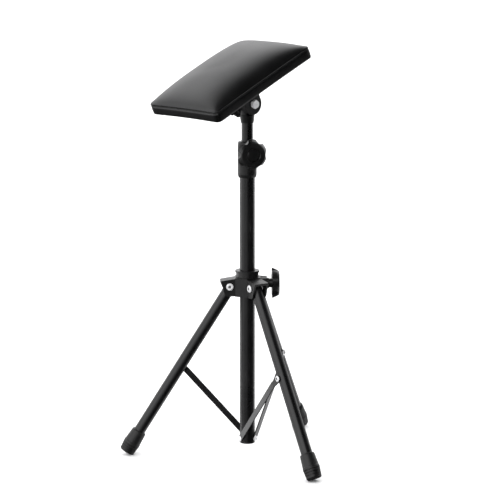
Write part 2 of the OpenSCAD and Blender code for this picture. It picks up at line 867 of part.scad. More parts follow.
module tilt_knob() {
    seat = ear_out + washer_t + free_gap / 2;
    color("#19191a")
        pad_frame() rotate([-90, 0, 0]) translate([0, 0, seat]) rotate([0, 0, tilt_knob_turn])
            difference() {
                star_knob(screw_d + knob_bore_fit, knob_neck_h + bolt_past_knob + edge);
                translate([0, 0, -overrun])
                    cylinder(d = (knob_nut_af + 2 * nut_gap) / cos(30),
                        h = knob_nut_in + knob_nut_h + overrun, $fn = 6);
            }
}

module tilt_knob_nut() {
    seat = ear_out + washer_t + free_gap / 2;
    color("#b9bbbd")
        pad_frame() rotate([-90, 0, 0]) translate([0, 0, seat + knob_nut_in]) rotate([0, 0, tilt_knob_turn])
            difference() {
                cylinder(d = knob_nut_af / cos(30), h = knob_nut_h, $fn = 6);
                translate([0, 0, -overrun]) cylinder(r = screw_r + screw_fit, h = knob_nut_h + 2 * overrun);
            }
}

module bracket_screws() {
    plate_low = pad_rise - plate_t;
    color("#2a2a2c")
        pad_frame() for (x = [-1, 1], y = [-1, 1])
            translate([x * plate_screw_x, y * plate_screw_y, 0]) {
                translate([0, 0, plate_low - plate_screw_head_h])
                    rotate_extrude()
                        polygon([
                            [0, edge], [plate_screw_d / 2, edge], [plate_screw_d / 2, 0],
                            [plate_screw_head_d / 2 - edge, 0], [plate_screw_head_d / 2, edge],
                            [plate_screw_head_d / 2, plate_screw_head_h], [0, plate_screw_head_h]
                        ]);
                translate([0, 0, plate_low]) cylinder(d = plate_screw_d, h = board_top - plate_low - edge);
            }
}

module board_tee_nuts() {
    color("#b9bbbd")
        pad_frame() for (x = [-1, 1], y = [-1, 1])
            translate([x * plate_screw_x, y * plate_screw_y, board_top])
                difference() {
                    union() {
                        translate([0, 0, -tee_flange_t]) cylinder(d = tee_flange_d, h = tee_flange_t);
                        translate([0, 0, -board_t + edge]) cylinder(d = tee_barrel_d, h = board_t - edge);
                    }
                    translate([0, 0, -board_t]) cylinder(d = plate_screw_d + 2 * running_gap, h = board_t + overrun);
                }
}

// Pad

// The board clears the cover's rounded lower edge
board_inset = cover_t + side_round * side_inset_shares[0] + side_bow + board_side_gap;
board_l = pad_l - 2 * board_inset;
board_w = pad_w - 2 * board_inset;

module pad_board() {
    color("#b08d5f")
        pad_frame() translate([-pad_shift, 0, 0])
            difference() {
                translate([0, 0, board_low]) linear_extrude(board_t)
                    round_plate(board_l, board_w, corner_r);
                for (x = [-1, 1], y = [-1, 1])
                    translate([pad_shift + x * plate_screw_x, y * plate_screw_y, board_low - overrun]) {
                        cylinder(d = tee_barrel_d + 2 * running_gap, h = board_t + 2 * overrun);
                        translate([0, 0, board_t + overrun - tee_flange_t])
                            cylinder(d = tee_flange_d + 2 * running_gap, h = tee_flange_t + overrun);
                    }
            }
}

module pad_base_cloth() {
    color("#151515")
        pad_frame() translate([-pad_shift, 0, pad_rise])
            difference() {
                linear_extrude(cloth_t)
                    round_plate(pad_l - 2 * cloth_margin, pad_w - 2 * cloth_margin, corner_r);
                for (x = [-1, 1], y = [-1, 1])
                    translate([pad_shift + x * plate_screw_x, y * plate_screw_y, -overrun])
                        cylinder(d = plate_screw_d + 2 * running_gap, h = cloth_t + 2 * overrun);
            }
}

// Half an outline's points, counted round a rectangle with round corners and sides that bow in
function corner_point(q, k) =
    let (a = 90 * q + 90 * k / corner_steps) [cos(a), sin(a)];
function side_pull(t, bow) = bow * (1 - pow(2 * t - 1, 2));

// One ring: inset from the seam, at a height, with the sides drawn in by bow
function pad_ring(inset, z, bow, widen = 0) =
    let (
        hl = pad_l / 2 - inset,
        hw = pad_w / 2 - inset,
        r = widen > 0 ? min(crown_round_max * hw, corner_r + widen * inset) : max(edge, corner_r - inset),
        sx = [1, -1, -1, 1],
        sy = [1, 1, -1, -1]
    )
    [for (q = [0 : 3])
        let (
            c = [sx[q] * (hl - r), sy[q] * (hw - r)],
            next = [sx[(q + 1) % 4] * (hl - r), sy[(q + 1) % 4] * (hw - r)],
            last = c + r * corner_point(q, corner_steps),
            first = next + r * corner_point(q + 1, 0),
            inward = -corner_point(q + 1, 0)
        )
        each concat(
            [for (k = [0 : corner_steps]) let (p = c + r * corner_point(q, k)) [p[0], p[1], z]],
            [for (k = [1 : side_steps - 1])
                let (t = k / side_steps, p = last + t * (first - last) + side_pull(t, bow) * inward)
                [p[0], p[1], z]]
        )
    ];

ring_count = 4 * (corner_steps + side_steps);

// Closed skin over a stack of rings, capped at both ends
module ring_skin(rings) {
    n = ring_count;
    m = len(rings);
    points = [for (ring = rings) each ring];
    sides = [for (j = [0 : m - 2], k = [0 : n - 1])
        let (a = j * n + k, b = j * n + (k + 1) % n)
        each [[a, a + n, b], [b, a + n, b + n]]];
    start_cap = [for (k = [1 : n - 2]) [0, k, k + 1]];
    end_cap = [for (k = [1 : n - 2]) [(m - 1) * n, (m - 1) * n + k + 1, (m - 1) * n + k]];
    polyhedron(points = points, faces = concat(sides, start_cap, end_cap));
}

// Rings of a pad form that lies skin mm inside the cover's outside
function side_rings(skin) =
    [for (k = [0 : len(side_inset_shares) - 1])
        pad_ring(skin + side_round * side_inset_shares[k],
                 cover_low + max(skin, pad_side_h * side_height_shares[k]), side_bow)];

// Crown as a dome that is elliptic along and across, down to the drawn-in seam
function dome_side(v, half) = sqrt(max(0, 1 - pow(v / half, 2)));
function drawn_half(half, other, other_half, bow) = half - bow * (1 - pow(min(1, abs(other / other_half)), 2));
function dome_share(x, y, skin) =
    let (hl = pad_l / 2 - skin, hw = pad_w / 2 - skin)
    dome_side(x, drawn_half(hl, y, hw, side_bow)) * dome_side(y, drawn_half(hw, x, hl, side_bow));
function crown_rings(skin) =
    [for (k = [0 : len(crown_inset_shares) - 1])
        [for (p = pad_ring(skin + pad_w / 2 * crown_inset_shares[k], 0,
                           side_bow * (1 - crown_inset_shares[k]), crown_widen))
            [p[0], p[1],
             cover_seam - skin / 2 + (pad_crown_h - skin / 2) * dome_share(p[0], p[1], skin)]]];

module pad_cover() {
    hem_top = [pad_ring(hem_w, cover_low + cover_t, 0)];
    hem_low = [pad_ring(hem_w, cover_low, 0)];
    inner = concat(side_rings(cover_t), crown_rings(cover_t));
    outer = concat(side_rings(0), crown_rings(0));
    reversed = [for (k = [len(inner) - 1 : -1 : 1]) inner[k]];
    color("#141415")
        pad_frame() translate([-pad_shift, 0, 0])
            ring_skin(concat(reversed, [inner[0]], hem_top, hem_low, outer));
}

module pad_foam() {
    skin = cover_t + foam_gap;
    base = board_top + layer_gap;
    low = [pad_ring(skin + side_round * side_inset_shares[3], base, side_bow)];
    rings = concat(low, [pad_ring(skin, cover_seam - skin / 2, side_bow)], crown_rings(skin));
    color("#d9cf9f")
        pad_frame() translate([-pad_shift, 0, 0]) ring_skin(rings);
}

column_tube();
column_end_cap();
top_collar();
collar_nut();
height_clamp_pad();
height_knob();
height_screw();
hub();
hub_bush();
hub_nut();
hub_pivot_rivets();
hub_clamp_pad();
hub_knob();
hub_screw();
leg_tube_left();
leg_tube_front();
leg_tube_back();
leg_end_left();
leg_end_front();
leg_end_back();
foot_left();
foot_front();
foot_back();
brace_left();
brace_front();
brace_back();
brace_rivet_left();
brace_rivet_front();
brace_rivet_back();
brace_foot_rivet_left();
brace_foot_rivet_front();
brace_foot_rivet_back();
riser_bush();
riser_tube();
tilt_head();
pad_bracket();
tilt_bolt();
tilt_bolt_washer();
tilt_knob_washer();
tilt_knob();
tilt_knob_nut();
bracket_screws();
board_tee_nuts();
pad_board();
pad_foam();
pad_cover();
pad_base_cloth();
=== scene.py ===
# %% [markdown]
# # A padded arm rest on a folding tripod
# This notebook dresses a finished CAD model of an arm rest stand. The tubes, hub, knobs and
# rivets come from the CAD and keep their shapes. The soft cushion, its cloth and its staples
# are modelled here, and every surface gets a material made of nodes.
# The first cell loads the CAD model.

# %% Load the CAD model
import json
import math
import random

import bmesh
import bpy
from mathutils import Matrix, Vector


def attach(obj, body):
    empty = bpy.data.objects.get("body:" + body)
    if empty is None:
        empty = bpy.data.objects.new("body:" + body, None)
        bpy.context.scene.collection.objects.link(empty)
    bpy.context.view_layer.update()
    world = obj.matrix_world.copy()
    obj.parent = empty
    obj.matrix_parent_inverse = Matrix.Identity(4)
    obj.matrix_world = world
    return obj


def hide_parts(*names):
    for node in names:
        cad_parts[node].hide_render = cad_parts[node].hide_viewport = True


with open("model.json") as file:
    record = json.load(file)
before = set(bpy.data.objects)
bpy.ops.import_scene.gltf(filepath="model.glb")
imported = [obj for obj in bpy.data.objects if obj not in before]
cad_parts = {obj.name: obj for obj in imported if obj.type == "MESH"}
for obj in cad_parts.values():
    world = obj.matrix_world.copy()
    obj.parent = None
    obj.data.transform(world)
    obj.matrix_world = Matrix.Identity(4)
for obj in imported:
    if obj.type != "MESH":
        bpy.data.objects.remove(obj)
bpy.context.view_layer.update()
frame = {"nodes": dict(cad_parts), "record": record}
nodes = frame["nodes"]

# %% [markdown]
# The photograph was taken from far away and a little above the hub, so the camera is long.
# A camera could be set by eye, but this one was fitted: its place, turn and focal length were
# worked out from the feet, the column and the cushion's corners in the picture.

# %% Camera at the photograph's viewpoint
camera_place = (-0.1224, -3.5249, 0.9777)
camera_turn = (79.921, 0.01, -2.064)
camera_data = bpy.data.cameras.new("photo_camera")
camera_data.sensor_width = 36.0
camera_data.lens = 154.15
camera_data.clip_end = 200.0
camera = bpy.data.objects.new("photo_camera", camera_data)
camera.location = camera_place
camera.rotation_euler = [math.radians(angle) for angle in camera_turn]
bpy.context.scene.collection.objects.link(camera)
bpy.context.scene.camera = camera
print("camera", round(Vector(camera_place).length, 2), "m away, lens",
      round(camera_data.lens, 2), "mm")

# %% [markdown]
# ## The studio
# The stand is photographed on plain white, and no edge of a floor can be seen. A backdrop
# could be bent up behind it, but a plane that is much wider than the picture does the same. It
# stays out of mirror reflections, because the underside of a black part would otherwise
# shine like silver.

# %% Floor
def select_only(obj):
    """Makes one object the only selected and the active one."""
    bpy.ops.object.select_all(action="DESELECT")
    obj.select_set(True)
    bpy.context.view_layer.objects.active = obj


floor_radius = 30.0
bpy.ops.object.select_all(action="DESELECT")
bpy.ops.mesh.primitive_circle_add(vertices=96, radius=floor_radius, fill_type="NGON",
                                  location=(0, 0, 0))
floor = bpy.context.active_object
floor.name = "studio_floor"
floor_finish = bpy.data.materials.new("pale_floor")
floor_finish.use_nodes = True
floor_shader = floor_finish.node_tree.nodes["Principled BSDF"]
floor_shader.inputs["Base Color"].default_value = (0.9, 0.9, 0.9, 1)
floor_shader.inputs["Roughness"].default_value = 0.9
floor_shader.inputs["Specular IOR Level"].default_value = 0.0
floor.data.materials.append(floor_finish)
floor.visible_glossy = False
print("floor", 2 * floor_radius, "m wide")

# %% [markdown]
# The photograph shows no shadow on the floor. A ceiling full of soft lamps comes closest to
# that, and a sun with a very wide disc does the same in one lamp.

# %% Soft ceiling
ceiling_data = bpy.data.lights.new("soft_ceiling", "SUN")
ceiling_data.energy = 3.1
ceiling_data.angle = math.radians(110)
ceiling = bpy.data.objects.new("soft_ceiling", ceiling_data)
ceiling.visible_glossy = False
bpy.context.scene.collection.objects.link(ceiling)
print("ceiling disc", round(math.degrees(ceiling_data.angle)), "degrees wide")

# %% [markdown]
# Black paint shows hardly anything but what it mirrors, so the greys on the tubes and the
# cushion are pictures of the studio's pale panels. Real panels would take many lamps and planes.
# Here they are patches of glow in the world, each round a compass angle and between two
# heights, placed by working out which directions the greys in the photograph mirror.
# A ray straight from the camera doesn't meet them and sees plain white.

# %% World and its directions
world = bpy.data.worlds.new("studio")
world.use_nodes = True
bpy.context.scene.world = world
sky = world.node_tree
sky.nodes.clear()


def sky_node(kind, **inputs):
    """Adds a node to the world and sets inputs by their labels."""
    made = sky.nodes.new(kind)
    for label, value in inputs.items():
        made.inputs[label.replace("_", " ")].default_value = value
    return made


direction = sky_node("ShaderNodeTexCoord")
parts = sky_node("ShaderNodeSeparateXYZ")
sky.links.new(direction.outputs["Generated"], parts.inputs[0])
level = sky_node("ShaderNodeCombineXYZ")
sky.links.new(parts.outputs["X"], level.inputs["X"])
sky.links.new(parts.outputs["Y"], level.inputs["Y"])
compass = sky_node("ShaderNodeVectorMath")
compass.operation = "NORMALIZE"
sky.links.new(level.outputs[0], compass.inputs[0])
height = sky_node("ShaderNodeMapRange", From_Min=-1.0, From_Max=1.0)
sky.links.new(parts.outputs["Z"], height.inputs["Value"])
print("world nodes:", len(sky.nodes))

# %% [markdown]
# A panel is two masks that are multiplied. The first is how near a direction lies to the
# panel's compass angle. The second is a colour ramp over the height, which gives the panel its
# dim and bright parts. Each panel is added to the ones before it.

# %% One panel of the pale wall
def wall_panel(middle, reach, soft, stops, under):
    """A glow round a compass angle, in degrees. Stops are pairs of sine of height and glow."""
    turn = math.radians(middle)
    toward = sky_node("ShaderNodeVectorMath")
    toward.operation = "DOT_PRODUCT"
    toward.inputs[1].default_value = (math.cos(turn), math.sin(turn), 0)
    sky.links.new(compass.outputs[0], toward.inputs[0])
    around = sky_node("ShaderNodeMapRange", From_Min=math.cos(math.radians(reach + soft)),
                      From_Max=math.cos(math.radians(reach - soft)))
    around.interpolation_type = "SMOOTHSTEP"
    sky.links.new(toward.outputs["Value"], around.inputs["Value"])
    profile = sky_node("ShaderNodeValToRGB")
    ramp = profile.color_ramp
    ramp.interpolation = "EASE"
    ramp.elements.remove(ramp.elements[0])
    ramp.elements[0].color = (0, 0, 0, 1)
    for sine, strength in stops:
        ramp.elements.new(sine / 2 + 0.5).color = (strength, strength, strength, 1)
    sky.links.new(height.outputs[0], profile.inputs["Fac"])
    glow = sky_node("ShaderNodeMath")
    glow.operation = "MULTIPLY_ADD"
    sky.links.new(profile.outputs["Color"], glow.inputs[0])
    sky.links.new(around.outputs[0], glow.inputs[1])
    if isinstance(under, float):
        glow.inputs[2].default_value = under
    else:
        sky.links.new(under, glow.inputs[2])
    return glow.outputs[0]


print("builder of a panel:", wall_panel.__name__)

# %% [markdown]
# Compass angles run from the right of the picture (0) to behind the stand (90) and its left
# (180), and the camera stands at about 268. The padded top mirrors what is behind the stand,
# high up, so the two panels there give the cushion its grey crown. The camera looks down by
# ten degrees, so an upright tube mirrors what is ten degrees below the horizon. The
# two narrow strips lie at that height and draw a line near each edge of the column.

# %% All panels
strip_light = ((-0.32, 0.0), (-0.24, 2.4), (-0.1, 2.4), (-0.02, 0.0))
wall_panels = {
    "back": (121, 85, 8, ((-0.62, 0.0), (-0.4, 0.4), (-0.04, 0.55), (0.08, 0.85),
                          (0.4, 1.0), (0.72, 1.0), (0.9, 0.0))),
    "upper back": (108, 46, 16, ((-0.02, 0.0), (0.1, 0.4), (0.5, 1.0), (0.76, 1.0), (0.88, 0.0))),
    "left": (188, 26, 14, ((-0.34, 0.0), (-0.16, 0.7), (0.3, 0.7), (0.5, 0.0))),
    "front left": (237, 31, 8, ((-0.42, 0.0), (-0.17, 0.45), (0.1, 1.4), (0.3, 2.0),
                                (0.7, 2.0), (0.85, 0.0))),
    "right": (38, 30, 10, ((0.0, 0.0), (0.2, 0.9), (0.55, 0.9), (0.75, 0.0))),
    "left strip": (152, 10, 5, strip_light),
    "right strip": (32, 10, 5, strip_light),
    "low right": (18, 26, 14, ((-0.85, 0.0), (-0.72, 1.5), (-0.45, 1.5), (-0.28, 0.0))),
}
all_walls = 0.01
for middle, reach, soft, stops in wall_panels.values():
    all_walls = wall_panel(middle, reach, soft, stops, all_walls)
print("wall panels:", ", ".join(wall_panels))

# %% [markdown]
# The camera sees white where reflections see the panels. A white backdrop would hide the
# panels behind it, so one world holds both: a light path node tells what kind of ray asks,
# and a mix shader hands it one background or the other.

# %% White for the camera, panels for reflections
wall = sky_node("ShaderNodeBackground", Color=(1, 1, 1.01, 1))
sky.links.new(all_walls, wall.inputs["Strength"])
white = sky_node("ShaderNodeBackground", Color=(1, 1, 1, 1))
seen = sky_node("ShaderNodeLightPath")
mix = sky_node("ShaderNodeMixShader")
out = sky_node("ShaderNodeOutputWorld")
sky.links.new(seen.outputs["Is Camera Ray"], mix.inputs["Fac"])
sky.links.new(wall.outputs[0], mix.inputs[1])
sky.links.new(white.outputs[0], mix.inputs[2])
sky.links.new(mix.outputs[0], out.inputs["Surface"])
bpy.context.scene.view_settings.view_transform = "Standard"
print("world nodes:", len(sky.nodes))

# %% [markdown]
# ## Finishes
# A real black part is never one flat black. Powder coat has an orange-peel ripple, moulded nylon
# has a fine spark-eroded grain, and hands leave paler, duller patches on both. These effects
# are shader node groups, so that each material uses them with its own sizes. Groups could be
# wired by hand in the shader editor. Small helpers that add a node in one line do it here.

# %% Helpers for a group and its nodes
def shader_group(name, inputs, outputs):
    """An empty node group with number inputs and outputs, and its two end nodes."""
    group = bpy.data.node_groups.new(name, "ShaderNodeTree")
    for label, default in inputs:
        socket = group.interface.new_socket(name=label, in_out="INPUT",
                                            socket_type="NodeSocketFloat")
        socket.default_value = default
    for label in outputs:
        group.interface.new_socket(name=label, in_out="OUTPUT", socket_type="NodeSocketFloat")
    return group, group.nodes.new("NodeGroupInput"), group.nodes.new("NodeGroupOutput")


def node(tree, kind, **settings):
    """Adds a node and sets its properties, or else its inputs, by name."""
    made = tree.nodes.new(kind)
    for key, value in settings.items():
        if hasattr(made, key):
            setattr(made, key, value)
        else:
            made.inputs[key.replace("_", " ")].default_value = value
    return made


def stretch(tree, value, low, high, new_low=0.0, new_high=1.0):
    """Maps a value's range to another and cuts off what lies outside."""
    made = node(tree, "ShaderNodeMapRange", clamp=True)
    limits = {"From Min": low, "From Max": high, "To Min": new_low, "To Max": new_high}
    for label, number in limits.items():
        made.inputs[label].default_value = number
    tree.links.new(value, made.inputs["Value"])
    return made.outputs["Result"]


print("helpers for a group:", shader_group.__name__, node.__name__, stretch.__name__)

# %% [markdown]
# The grain is fine noise that bumps the surface, and the handled patches are wide, bent noise.
# A picture of real paint would show its repeats, and noise in the object's own coordinates
# never does.

# %% Moulded or sprayed grain, with handled patches
grain_group, group_in, group_out = shader_group(
    "sprayed_grain", [("Grain Scale", 1800.0), ("Patch Scale", 18.0)], ["Height", "Patch"])
place = grain_group.nodes.new("ShaderNodeTexCoord")
fine = node(grain_group, "ShaderNodeTexNoise", Detail=3.0, Roughness=0.55)
wide = node(grain_group, "ShaderNodeTexNoise", Detail=5.0, Roughness=0.62, Distortion=0.4)
for texture, label in ((fine, "Grain Scale"), (wide, "Patch Scale")):
    grain_group.links.new(place.outputs["Object"], texture.inputs["Vector"])
    grain_group.links.new(group_in.outputs[label], texture.inputs["Scale"])
grain_group.links.new(fine.outputs["Fac"], group_out.inputs["Height"])
patches = stretch(grain_group, wide.outputs["Fac"], 0.42, 0.66)
grain_group.links.new(patches, group_out.inputs["Patch"])
print(grain_group.name, len(grain_group.nodes), "nodes")

# %% [markdown]
# The column carries the sliding hub, and the riser slides in the column, so both tubes have
# fine scratches along their length. Noise that is squeezed round the tube and stretched along
# it makes threads, and a line is drawn where the noise passes its middle value. A second,
# wider noise breaks the lines off, because no scratch runs the whole way.

# %% Helper for a sum
def math_node(tree, operation, first, second=None, clamp=False):
    """A sum of one or two values, each a number or another node's output."""
    made = tree.nodes.new("ShaderNodeMath")
    made.operation = operation
    made.use_clamp = clamp
    for socket, value in zip(made.inputs, (first, second)):
        if value is None:
            continue
        if isinstance(value, (int, float)):
            socket.default_value = value
        else:
            tree.links.new(value, socket)
    return made.outputs[0]


print("helper for a sum:", math_node.__name__)

# %% Long scratches where tubes slide through their bushes
scratch_group, group_in, group_out = shader_group(
    "sliding_scratches", [("Around", 900.0), ("Along", 9.0), ("Thin", 0.012)], ["Mask"])
place = scratch_group.nodes.new("ShaderNodeTexCoord")
scale = node(scratch_group, "ShaderNodeCombineXYZ")
for axis in "XY":
    scratch_group.links.new(group_in.outputs["Around"], scale.inputs[axis])
scratch_group.links.new(group_in.outputs["Along"], scale.inputs["Z"])
stretched = node(scratch_group, "ShaderNodeVectorMath", operation="MULTIPLY")
scratch_group.links.new(place.outputs["Object"], stretched.inputs[0])
scratch_group.links.new(scale.outputs[0], stretched.inputs[1])
streaks = node(scratch_group, "ShaderNodeTexNoise", Scale=1.0, Detail=2.0, Roughness=0.5)
scratch_group.links.new(stretched.outputs[0], streaks.inputs["Vector"])
from_middle = math_node(scratch_group, "SUBTRACT", streaks.outputs["Fac"], 0.5)
away = math_node(scratch_group, "ABSOLUTE", from_middle)
in_widths = math_node(scratch_group, "DIVIDE", away, group_in.outputs["Thin"])
line = math_node(scratch_group, "SUBTRACT", 1.0, in_widths, clamp=True)
broken = node(scratch_group, "ShaderNodeTexNoise", Scale=40.0, Detail=2.0)
scratch_group.links.new(place.outputs["Object"], broken.inputs["Vector"])
gate = stretch(scratch_group, broken.outputs["Fac"], 0.52, 0.6)
scratch_group.links.new(math_node(scratch_group, "MULTIPLY", line, gate),
                        group_out.inputs["Mask"])
print(scratch_group.name, len(scratch_group.nodes), "nodes")

# %% [markdown]
# Paint, nylon, rubber and zinc differ in their numbers and not in their build-up: a colour and a
# roughness that wander between clean and handled, over a grain. Each could be wired on its
# own, but one function makes them all alike, from three helpers for what a material repeats.

# %% Helpers for a group, a mix and a bump in a material
def group_node(tree, group, **inputs):
    """Places a node group in a material."""
    made = tree.nodes.new("ShaderNodeGroup")
    made.node_tree = group
    for label, value in inputs.items():
        made.inputs[label.replace("_", " ")].default_value = value
    return made


def colour_mix(tree, mask, first, second):
    """Goes from the first colour to the second with the mask. Either may be a node's output."""
    made = node(tree, "ShaderNodeMix", data_type="RGBA")
    tree.links.new(mask, made.inputs[0])
    for socket, colour in zip([s for s in made.inputs if s.type == "RGBA"], (first, second)):
        if isinstance(colour, tuple):
            socket.default_value = (*colour, 1)
        else:
            tree.links.new(colour, socket)
    return [s for s in made.outputs if s.type == "RGBA"][0]


def add_bump(tree, height_value, strength, distance, invert=False):
    """Lays a bump over the shader's normal, on top of a bump that is there already."""
    shader = tree.nodes["Principled BSDF"]
    made = node(tree, "ShaderNodeBump", Strength=strength, Distance=distance, invert=invert)
    tree.links.new(height_value, made.inputs["Height"])
    if shader.inputs["Normal"].is_linked:
        tree.links.new(shader.inputs["Normal"].links[0].from_socket, made.inputs["Normal"])
    tree.links.new(made.outputs["Normal"], shader.inputs["Normal"])


print("helpers for a material:", group_node.__name__, colour_mix.__name__, add_bump.__name__)


# %% One way to build every hard finish
def hard_finish(name, colour, handled, roughness, handled_roughness, grain=1800.0, depth=0.00003,
                patch=18.0, metallic=0.0, specular=0.5):
    """A Principled finish whose colour and roughness wander between two values, over a grain."""
    made = bpy.data.materials.new(name)
    made.use_nodes = True
    tree = made.node_tree
    shader = tree.nodes["Principled BSDF"]
    shader.inputs["Metallic"].default_value = metallic
    shader.inputs["Specular IOR Level"].default_value = specular
    surface = group_node(tree, grain_group, Grain_Scale=grain, Patch_Scale=patch)
    tint = colour_mix(tree, surface.outputs["Patch"], colour, handled)
    tree.links.new(tint, shader.inputs["Base Color"])
    rough = stretch(tree, surface.outputs["Patch"], 0.0, 1.0, roughness, handled_roughness)
    tree.links.new(rough, shader.inputs["Roughness"])
    add_bump(tree, surface.outputs["Height"], strength=0.5, distance=depth)
    return made


print("builder of the hard finishes:", hard_finish.__name__)

# %% [markdown]
# Each material slot of the CAD model gets one finish. The blacks are very dark: under their
# gloss, black paint and nylon send back about one per cent of the light or less, and the grey
# that the eye sees on them is the gloss.

# %% Hard finishes
powder_coat = dict(colour=(0.003, 0.003, 0.0032), handled=(0.006, 0.006, 0.0062),
                   roughness=0.27, handled_roughness=0.34, grain=1400, depth=0.00004, patch=14)
zinc_look = dict(colour=(0.82, 0.82, 0.83), handled=(0.66, 0.66, 0.67), roughness=0.34,
                 handled_roughness=0.46, grain=3200, depth=0.00002, patch=160, metallic=0.35)
finishes = {
    "tube_black": hard_finish("satin_powder_coat", **powder_coat),
    "hub_plastic": hard_finish(
        "moulded_nylon", (0.004, 0.004, 0.0042), (0.008, 0.008, 0.0082), 0.36, 0.45,
        grain=2600, depth=0.00005, patch=30, specular=0.4),
    "bush_plastic": hard_finish(
        "black_acetal", (0.006, 0.006, 0.0063), (0.011, 0.011, 0.011), 0.3, 0.4,
        grain=2200, depth=0.00003, patch=30),
    "knob_plastic": hard_finish(
        "knob_plastic", (0.004, 0.004, 0.0042), (0.009, 0.009, 0.0093), 0.3, 0.4,
        grain=2400, depth=0.00004, patch=45),
    "foot_rubber": hard_finish(
        "foot_rubber", (0.005, 0.005, 0.0053), (0.012, 0.0118, 0.0115), 0.4, 0.52,
        grain=1500, depth=0.00006, patch=60, specular=0.45),
    "strip_steel": hard_finish(
        "coated_strip", (0.004, 0.004, 0.0042), (0.009, 0.009, 0.0094), 0.22, 0.28,
        grain=1600, depth=0.00003, patch=26, specular=0.6),
    "zinc_steel": hard_finish("zinc_plate", **zinc_look),
    "brass_insert": hard_finish(
        "turned_brass", (0.62, 0.45, 0.2), (0.5, 0.36, 0.17), 0.3, 0.45,
        grain=3000, depth=0.00002, patch=120, metallic=1.0),
    "pale_plastic": hard_finish(
        "natural_nylon", (0.6, 0.58, 0.52), (0.52, 0.5, 0.44), 0.42, 0.55,
        grain=1800, depth=0.00003, patch=60),
    "bracket_steel": hard_finish(
        "bracket_coat", (0.0085, 0.0085, 0.009), (0.014, 0.014, 0.0145), 0.38, 0.5,
        grain=1300, depth=0.00005, patch=20),
    "screw_black": hard_finish(
        "black_oxide", (0.045, 0.045, 0.05), (0.09, 0.088, 0.085), 0.34, 0.5,
        grain=2800, depth=0.00002, patch=140, metallic=0.9),
    "plywood": hard_finish(
        "plywood", (0.42, 0.29, 0.16), (0.5, 0.36, 0.21), 0.6, 0.75,
        grain=900, depth=0.0001, patch=40),
}
print("finishes:", len(finishes))

# %% [markdown]
# The two sliding tubes get the same coat with the scratches laid over it. A scratch shows
# the metal a little and is duller than the coat, so it changes both colour and roughness. The
# washer under the tilt bolt is given a much darker colour than the rivets.

# %% Coat with sliding scratches, and the dark washer
def scratched(made, around, strength):
    """Lays thin, paler and duller scratches over a finish that exists."""
    tree = made.node_tree
    shader = tree.nodes["Principled BSDF"]
    scratches = group_node(tree, scratch_group, Around=around)
    mask = math_node(tree, "MULTIPLY", scratches.outputs["Mask"], strength)
    for label, worn in (("Base Color", (0.11, 0.11, 0.115)), ("Roughness", (0.55, 0.55, 0.55))):
        below = shader.inputs[label].links[0].from_socket
        tree.links.new(colour_mix(tree, mask, below, worn), shader.inputs[label])
    return made


sliding_coat = scratched(hard_finish("sliding_powder_coat", **powder_coat),
                         around=900.0, strength=0.35)
# The washer is simply made much darker than the rivets' zinc.
dull_zinc = hard_finish("dull_zinc", (0.05, 0.05, 0.052), (0.025, 0.025, 0.027), 0.3, 0.42,
                        grain=3000, depth=0.00002, patch=150, metallic=0.6)
own_finish = {"column_tube": sliding_coat, "riser_tube": sliding_coat,
              "tilt_bolt_washer": dull_zinc}
print("nodes with a finish of their own:", ", ".join(own_finish))

# %% [markdown]
# The rivets are semi-tubular, so the photograph shows a dark dimple in every head. The CAD's
# meshes stay as they are, so the dimple isn't cut but drawn by the finish, with painted shade
# for the dark hollow and a bump. Its place comes from the joint that the rivet is the pin of: the
# distance from the hinge's axis is the length of the cross product of the axis and the way to the
# point.

# %% Group for a dimple round an axis
dimple_floor, dimple_rim = 0.0017, 0.0029
dimple_group = bpy.data.node_groups.new("axis_dimple", "ShaderNodeTree")
for label in ("Centre", "Axis"):
    dimple_group.interface.new_socket(name=label, in_out="INPUT", socket_type="NodeSocketVector")
dimple_group.interface.new_socket(name="Mask", in_out="OUTPUT", socket_type="NodeSocketFloat")
group_in = dimple_group.nodes.new("NodeGroupInput")
group_out = dimple_group.nodes.new("NodeGroupOutput")
place = dimple_group.nodes.new("ShaderNodeTexCoord")
offset = node(dimple_group, "ShaderNodeVectorMath", operation="SUBTRACT")
across = node(dimple_group, "ShaderNodeVectorMath", operation="CROSS_PRODUCT")
from_axis = node(dimple_group, "ShaderNodeVectorMath", operation="LENGTH")
dimple_group.links.new(place.outputs["Object"], offset.inputs[0])
dimple_group.links.new(group_in.outputs["Centre"], offset.inputs[1])
dimple_group.links.new(offset.outputs[0], across.inputs[0])
dimple_group.links.new(group_in.outputs["Axis"], across.inputs[1])
dimple_group.links.new(across.outputs[0], from_axis.inputs[0])
dimple = stretch(dimple_group, from_axis.outputs["Value"], dimple_floor, dimple_rim, 1.0, 0.0)
dimple_group.links.new(dimple, group_out.inputs["Mask"])
print(dimple_group.name, len(dimple_group.nodes), "nodes")

# %% [markdown]
# The three hub rivets are one node in the CAD, so their finish takes a list of axes and keeps
# the deepest dimple at every point. Each brace rivet has one axis and a finish of its own.

# %% Zinc with dimples, for the rivets in sight
# How strongly painted shade darkens each hollow, and how deep its bump is.
painted_dimple_shade, dimple_depth = 0.85, 0.0009


def dimpled_zinc(name, pins):
    """Zinc with a dimple round the axis of every joint in the list, darkened by painted shade."""
    made = hard_finish(name, **zinc_look)
    tree = made.node_tree
    shader = tree.nodes["Principled BSDF"]
    mask = None
    for pin in pins:
        one = group_node(tree, dimple_group, Centre=pin["pos_m"],
                         Axis=Vector(pin["axis"]).normalized()).outputs["Mask"]
        mask = one if mask is None else math_node(tree, "MAXIMUM", mask, one)
    below = shader.inputs["Base Color"].links[0].from_socket
    # The dark colour in the dimple is painted shade in the hollow.
    shade = math_node(tree, "MULTIPLY", mask, painted_dimple_shade)
    tree.links.new(colour_mix(tree, shade, below, (0.07, 0.07, 0.07)), shader.inputs["Base Color"])
    add_bump(tree, mask, strength=1.0, distance=dimple_depth, invert=True)
    return made


